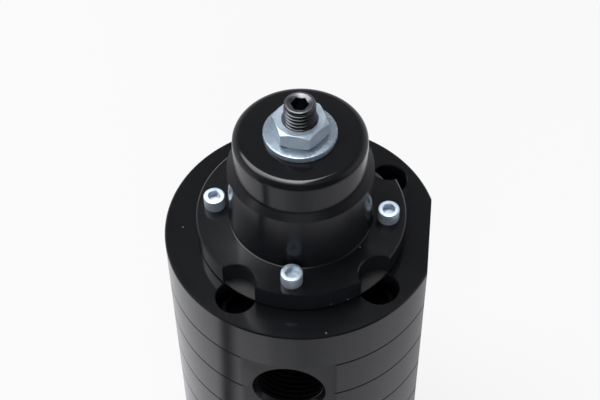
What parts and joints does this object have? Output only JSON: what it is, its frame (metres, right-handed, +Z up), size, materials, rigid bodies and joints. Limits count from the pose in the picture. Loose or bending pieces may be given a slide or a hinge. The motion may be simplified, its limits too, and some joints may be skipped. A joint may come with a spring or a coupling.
{
  "type": "diesel fuel lift pump",
  "caption": "Upright round electric fuel lift pump with a gerotor, side ports and a screw-set bypass regulator under a flanged bonnet.",
  "frame": {"origin": "centre of the flat base face", "axes": "+Z up along the pump axis; +X is the outward normal of the mounting flat; -Y is the outward direction of the outlet port"},
  "size_m": [0.0984, 0.1184, 0.2374],
  "materials": {
    "black_anodised_aluminium": "glossy black anodised, turned",
    "zinc_plated_steel": "bright zinc plated",
    "black_oxide_steel": "black oxide",
    "black_rubber": "matt",
    "bright_steel": "ground",
    "machined_steel": "machined",
    "brass": "bright",
    "sintered_bronze": "matt",
    "copper": "enamelled",
    "ferrite": "matt grey",
    "carbon": "matt",
    "black_phenolic": "moulded"
  },
  "bodies": {
    "housing": {"base_cap": "black_anodised_aluminium", "motor_housing": "black_anodised_aluminium", "pump_housing": "black_anodised_aluminium", "top_plate": "black_anodised_aluminium", "bonnet": "black_anodised_aluminium", "flange_screws": "zinc_plated_steel", "body_bolts": "black_oxide_steel", "base_screws": "black_oxide_steel", "diaphragm": "black_rubber", "plate_seal": "black_rubber", "pump_seal": "black_rubber", "base_seal": "black_rubber", "shaft_seal": "black_rubber", "regulator_spring": "bright_steel", "brush_spring_1": "bright_steel", "brush_spring_2": "bright_steel", "wear_plate": "machined_steel", "flux_ring": "machined_steel", "valve_seat": "brass", "brush_holder_1": "brass", "brush_holder_2": "brass", "terminal_stud_left": "brass", "terminal_stud_right": "brass", "terminal_nuts": "brass", "terminal_washers": "brass", "upper_bushing": "sintered_bronze", "lower_bushing": "sintered_bronze", "magnet_1": "ferrite", "magnet_2": "ferrite", "brush_plate": "black_phenolic", "terminal_insulator_left": "black_phenolic", "terminal_insulator_right": "black_phenolic", "thrust_washer": "black_phenolic"},
    "armature": {"shaft": "bright_steel", "rotor_key": "bright_steel", "inner_rotor": "machined_steel", "armature_core": "machined_steel", "armature_winding": "copper", "commutator": "copper"},
    "outer_rotor": {"outer_rotor": "machined_steel"},
    "spring_button": {"spring_button": "bright_steel"},
    "adjusting_screw": {"adjusting_screw": "black_oxide_steel"},
    "flat_washer": {"flat_washer": "zinc_plated_steel"},
    "jam_nut": {"jam_nut": "zinc_plated_steel"},
    "bypass_valve": {"valve_stem": "bright_steel", "lower_plate": "bright_steel", "spring_cup": "bright_steel", "stem_nut": "bright_steel", "valve_disc": "black_rubber"},
    "brush_1": {"brush_1": "carbon"},
    "brush_2": {"brush_2": "carbon"}
  },
  "joints": [
    {"name": "armature_spin", "type": "hinge", "parent": "housing", "child": "armature", "pos_m": [0, 0, 0.065], "axis": [0, 0, 1], "continuous": true},
    {"name": "outer_rotor_spin", "type": "hinge", "parent": "housing", "child": "outer_rotor", "pos_m": [0.0022, 0, 0.10795], "axis": [0, 0, 1], "continuous": true},
    {"name": "button_feed", "type": "slide", "parent": "housing", "child": "spring_button", "axis": [0, 0, 1], "range_m": [-0.00397, 0.00397], "deforming": ["regulator_spring"]},
    {"name": "screw_turn", "type": "hinge", "parent": "spring_button", "child": "adjusting_screw", "pos_m": [0, 0, 0.22], "axis": [0, 0, 1], "range_deg": [-901, 901]},
    {"name": "washer_lift", "type": "slide", "parent": "housing", "child": "flat_washer", "axis": [0, 0, 1], "range_m": [0, 0.00159]},
    {"name": "jam_nut_turn", "type": "hinge", "parent": "flat_washer", "child": "jam_nut", "pos_m": [0, 0, 0.2266], "axis": [0, 0, 1], "range_deg": [0, 361]},
    {"name": "valve_slide", "type": "slide", "parent": "housing", "child": "bypass_valve", "axis": [0, 0, 1], "range_m": [0, 0.0015], "stiffness_N_per_m": 8000, "deforming": ["regulator_spring", "diaphragm"]},
    {"name": "brush_1_slide", "type": "slide", "parent": "housing", "child": "brush_1", "axis": [1, 0, 0], "range_m": [0, 0.002], "stiffness_N_per_m": 300, "deforming": ["brush_spring_1"]},
    {"name": "brush_2_slide", "type": "slide", "parent": "housing", "child": "brush_2", "axis": [-1, 0, 0], "range_m": [0, 0.002], "stiffness_N_per_m": 300, "deforming": ["brush_spring_2"]}
  ],
  "couplings": [
    {"joint": "outer_rotor_spin", "follows": "armature_spin", "ratio": 0.85714},
    {"joint": "screw_turn", "follows": "button_feed", "rad_per_m": 3957.9},
    {"joint": "jam_nut_turn", "follows": "washer_lift", "rad_per_m": 3957.9}
  ]
}
